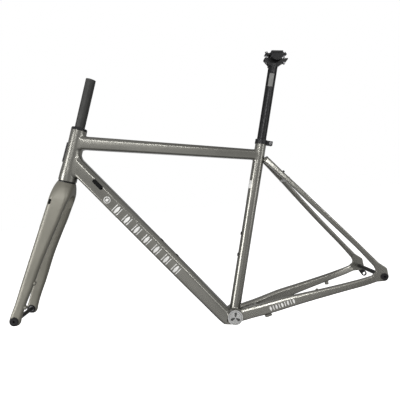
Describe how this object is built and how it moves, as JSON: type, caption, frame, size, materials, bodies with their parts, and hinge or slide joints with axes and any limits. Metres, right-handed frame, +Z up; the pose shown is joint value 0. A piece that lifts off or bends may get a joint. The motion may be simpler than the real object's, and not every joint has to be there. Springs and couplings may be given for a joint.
{
  "type": "bicycle frameset",
  "caption": "Welded gravel bicycle frame with a turning fork and headset, sliding seatpost with a tilting saddle clamp, and removable thru-axles.",
  "frame": {"origin": "centre of the bottom bracket shell", "axes": "+X towards the rear wheel, +Y to the rider's right (drive side), +Z up with both axles level"},
  "size_m": [1.0818, 0.1672, 0.7875],
  "materials": {
    "frame_paint": "gloss",
    "fork_paint": "gloss",
    "steerer_charcoal": "matte",
    "seatpost_black": "satin",
    "black_anodised": "satin",
    "black_rubber": "matte",
    "steel": "satin",
    "brushed_silver": "satin"
  },
  "bodies": {
    "frame": {"head_tube": "frame_paint", "top_tube": "frame_paint", "down_tube": "frame_paint", "seat_tube": "frame_paint", "bb_shell": "frame_paint", "bb_foot": "frame_paint", "chainstay_left": "frame_paint", "chainstay_right": "frame_paint", "seatstay_left": "frame_paint", "seatstay_right": "frame_paint", "chainstay_bridge": "frame_paint", "seatstay_bridge": "frame_paint", "dropout_left": "frame_paint", "dropout_right": "frame_paint", "derailleur_hanger": "black_anodised", "hanger_bolt": "black_anodised", "bottle_bosses_down_tube": "black_anodised", "bottle_bosses_seat_tube": "black_anodised", "bottle_bosses_underside": "black_anodised", "cable_port_left": "black_rubber", "cable_port_right": "black_rubber", "cable_guide_chainstay": "frame_paint", "hose_clips": "frame_paint", "rack_bolts": "black_anodised", "head_badge": "black_anodised", "upper_bearing_race": "steel", "upper_bearing_balls": "steel", "lower_bearing_race": "steel", "lower_bearing_balls": "steel", "seat_collar": "black_anodised", "collar_bolt": "steel", "collar_nut": "steel"},
    "fork": {"steerer_tube": "steerer_charcoal", "fork_crown": "fork_paint", "fork_leg_left": "fork_paint", "fork_leg_right": "fork_paint", "fork_brake_posts": "fork_paint", "fork_end_left": "black_anodised", "fork_end_right": "black_anodised", "fork_end_nut": "steel", "fork_hose_port": "black_rubber", "crown_race": "black_anodised", "lower_inner_race": "steel", "upper_inner_race": "steel", "compression_ring": "steel", "headset_cover": "black_anodised", "headset_seal": "black_rubber"},
    "seatpost": {"seatpost_tube": "seatpost_black", "seatpost_head": "black_anodised"},
    "saddle_clamp": {"saddle_cradle": "black_anodised", "saddle_clamp_top": "black_anodised", "saddle_clamp_bolts": "steel", "saddle_barrel_nuts": "steel"},
    "front_axle": {"front_axle": "black_anodised"},
    "rear_axle": {"rear_axle": "black_anodised"},
    "bb_cap": {"bb_cap": "brushed_silver"}
  },
  "joints": [
    {"name": "fork_steer", "type": "hinge", "parent": "frame", "child": "fork", "pos_m": [-0.41804, 0, 0.51683], "axis": [0.342, 0, 0.9397], "continuous": true},
    {"name": "seatpost_height", "type": "slide", "parent": "frame", "child": "seatpost", "axis": [0.2672, 0, 0.9636], "range_m": [-0.12, 0.04]},
    {"name": "saddle_tilt", "type": "hinge", "parent": "seatpost", "child": "saddle_clamp", "pos_m": [0.20936, 0, 0.7493], "axis": [0, 1, 0], "range_deg": [-4, 4]},
    {"name": "front_axle_slide", "type": "slide", "parent": "fork", "child": "front_axle", "axis": [0, -1, 0], "range_m": [0, 0.15]},
    {"name": "rear_axle_slide", "type": "slide", "parent": "frame", "child": "rear_axle", "axis": [0, -1, 0], "range_m": [0, 0.19]},
    {"name": "bb_cap_pull", "type": "slide", "parent": "frame", "child": "bb_cap", "axis": [0, -1, 0], "range_m": [0, 0.03]}
  ]
}
